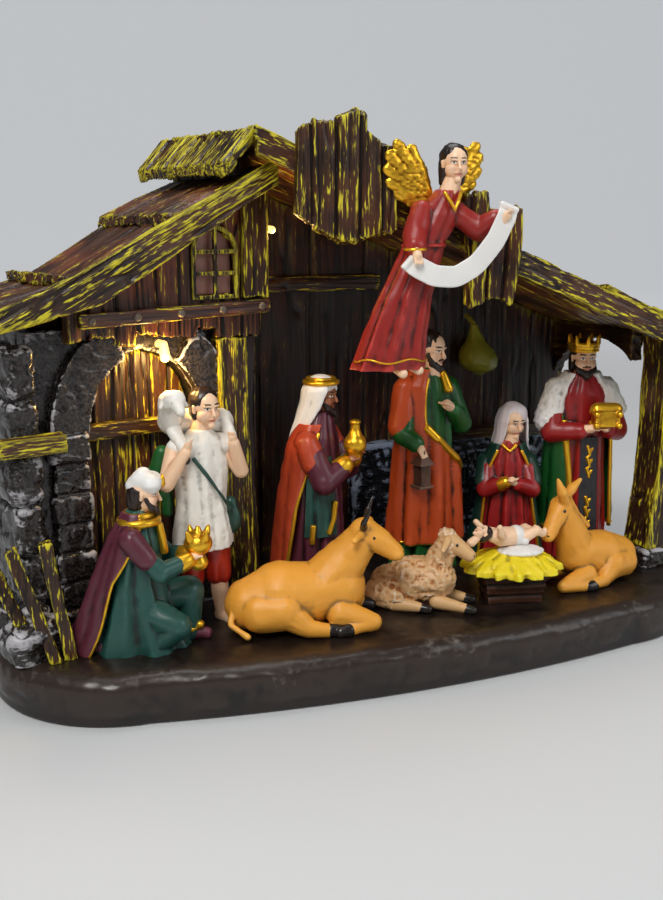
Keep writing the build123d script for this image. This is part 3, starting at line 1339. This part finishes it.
def build():
    """Makes every node, cutting later pieces by the ones they sit on."""
    nodes["base_slab"] = base_slab()
    box, cells, contacts, cover = battery_pieces()
    nodes["battery_box"], nodes["battery_cells"] = box, cells
    nodes["battery_contacts"], nodes["battery_cover"] = contacts, cover
    nodes["switch_body"], nodes["switch_slider"] = switch_pieces()

    panel, post = gable_panel(), left_post()
    wall = stone_wall() - DOOR_LAMP_HOLE - post
    nodes["left_stone_wall"] = WING * wall
    side, rear, partition = wing_walls()
    nodes["left_side_wall"], nodes["left_rear_wall"] = WING * side, WING * rear
    nodes["arch_voussoirs"] = WING * voussoirs([panel, post, DOOR_LAMP_HOLE])
    nodes["jamb_stones"] = WING * jamb_stones()
    nodes["pier_stones"] = WING * pier_stones()
    door = upright(
        arch_outline(
            ARCH_CENTRE,
            ARCH_HALF_WIDTH - DOOR_CLEARANCE,
            BASE_TOP,
            ARCH_SPRING,
            ARCH_RISE - DOOR_CLEARANCE,
            DOOR_RECESS,
        ),
        DOOR_RECESS,
        DOOR_RECESS + DOOR_THICKNESS,
    )
    nodes["arch_door"] = WING * door
    half = ARCH_HALF_WIDTH - DOOR_CLEARANCE
    nodes["door_batten"] = WING * block(
        (ARCH_CENTRE - half, DOOR_RECESS - BATTEN_THICKNESS, BATTEN_FOOT),
        (ARCH_CENTRE + half, DOOR_RECESS, BATTEN_FOOT + BATTEN_HEIGHT),
    )
    pier = nodes["pier_stones"]
    nodes["left_rail_board"] = WING * block(
        (RAIL_RIGHT - RAIL_LENGTH, PIER_FRONT - RAIL_THICKNESS, RAIL_FOOT),
        (RAIL_RIGHT, PIER_FRONT + RAIL_SEAT, RAIL_FOOT + RAIL_HEIGHT),
    ) - pier
    jambs = nodes["jamb_stones"]
    nodes["left_boulders"] = boulders([pier, nodes["left_stone_wall"], nodes["left_side_wall"], jambs])
    nodes["leaning_stakes"] = leaning_stakes([nodes["left_boulders"], pier, jambs])
    nodes["left_post"] = WING * post
    nodes["gable_panel"] = WING * panel
    nodes["gable_corner_board"] = WING * gable_corner_board()
    nodes["window_pane"], nodes["window_frame"] = WING * window_pane(), WING * window_frame()
    beam, rivets = strap_pieces()
    nodes["strap_beam"], nodes["strap_rivets"] = WING * beam, WING * rivets
    lower, middle, upper, bargeboard = left_roof()
    nodes["left_roof_lower_course"], nodes["left_roof_middle_course"] = lower, middle
    nodes["left_roof_upper_course"], nodes["left_bargeboard"] = upper, bargeboard

    wall, plinth, ledge, tie = back_wall_pieces([nodes["left_rear_wall"], upper])
    nodes["back_wall"], nodes["back_wall_plinth"] = wall, plinth
    nodes["back_ledge"], nodes["tie_beam"] = ledge, tie
    behind = block((-FAR, BACK_WALL_FRONT, 0), (FAR, FAR, FAR))
    nodes["partition_wall"] = (WING * partition & UNDER_MAIN_ROOF) - behind - tie
    nodes["ridge_cap_board"] = WING * ridge_cap()
    deck = main_roof_solid(0, RIDGE_TOP - DECK_THICKNESS, RIGHT_EAVE_TOP - DECK_THICKNESS)
    nodes["right_roof_deck"] = deck
    nodes["right_bargeboard"] = right_barge()
    nodes["broken_board_left"], nodes["broken_board_right"] = broken_boards()
    nodes["right_roof_shingle"] = roof_shingle(deck)
    nodes["right_post"], nodes["right_post_plinth"] = right_post_pieces()
    nodes["side_arch_header"] = side_arch()
    nodes["gourd"] = gourd(wall)
    for seams in deck_seams():
        nodes["right_roof_deck"] -= seams
    nodes["back_wall"] -= wall_seams(WALL_PLANK, BACK_WALL_FRONT, BACK_Y, ("front", "rear"))
    nodes["left_rear_wall"] -= WING * wall_seams(REAR_PLANK, REAR_WALL_FRONT, WING_REAR, ("rear",))

    nodes["kneeling_king_figure"] = kneeling_king_figure()
    nodes["shepherd_figure"] = shepherd_figure()
    nodes["jar_king_figure"] = jar_king_figure()
    nodes["father_figure"] = father_figure()
    nodes["mother_figure"] = mother_figure()
    nodes["standing_king_figure"] = standing_king_figure()
    nodes["ox_figure"] = ox_figure()
    nodes["sheep_figure"] = sheep_figure()
    nodes["donkey_figure"] = donkey_figure()
    nodes["crib"], nodes["crib_straw"], nodes["infant_figure"] = crib_pieces()
    roof_front = [nodes["right_bargeboard"], nodes["broken_board_left"], nodes["broken_board_right"]]
    nodes["angel_figure"], nodes["angel_banner"] = angel_pieces(roof_front)

    nodes["lamps"] = WING * join(lamp(DOOR_LAMP_SEAT, (0, -1, 0)), lamp(GABLE_LAMP_SEAT, (1, 0, 0)))
    nodes["lamp_leads"] = lamp_leads()


build()
os.makedirs("parts", exist_ok=True)
for name, shape in nodes.items():
    export_step(shape, f"parts/{name}.step")
    print(name, len(shape.solids()), round(shape.volume))
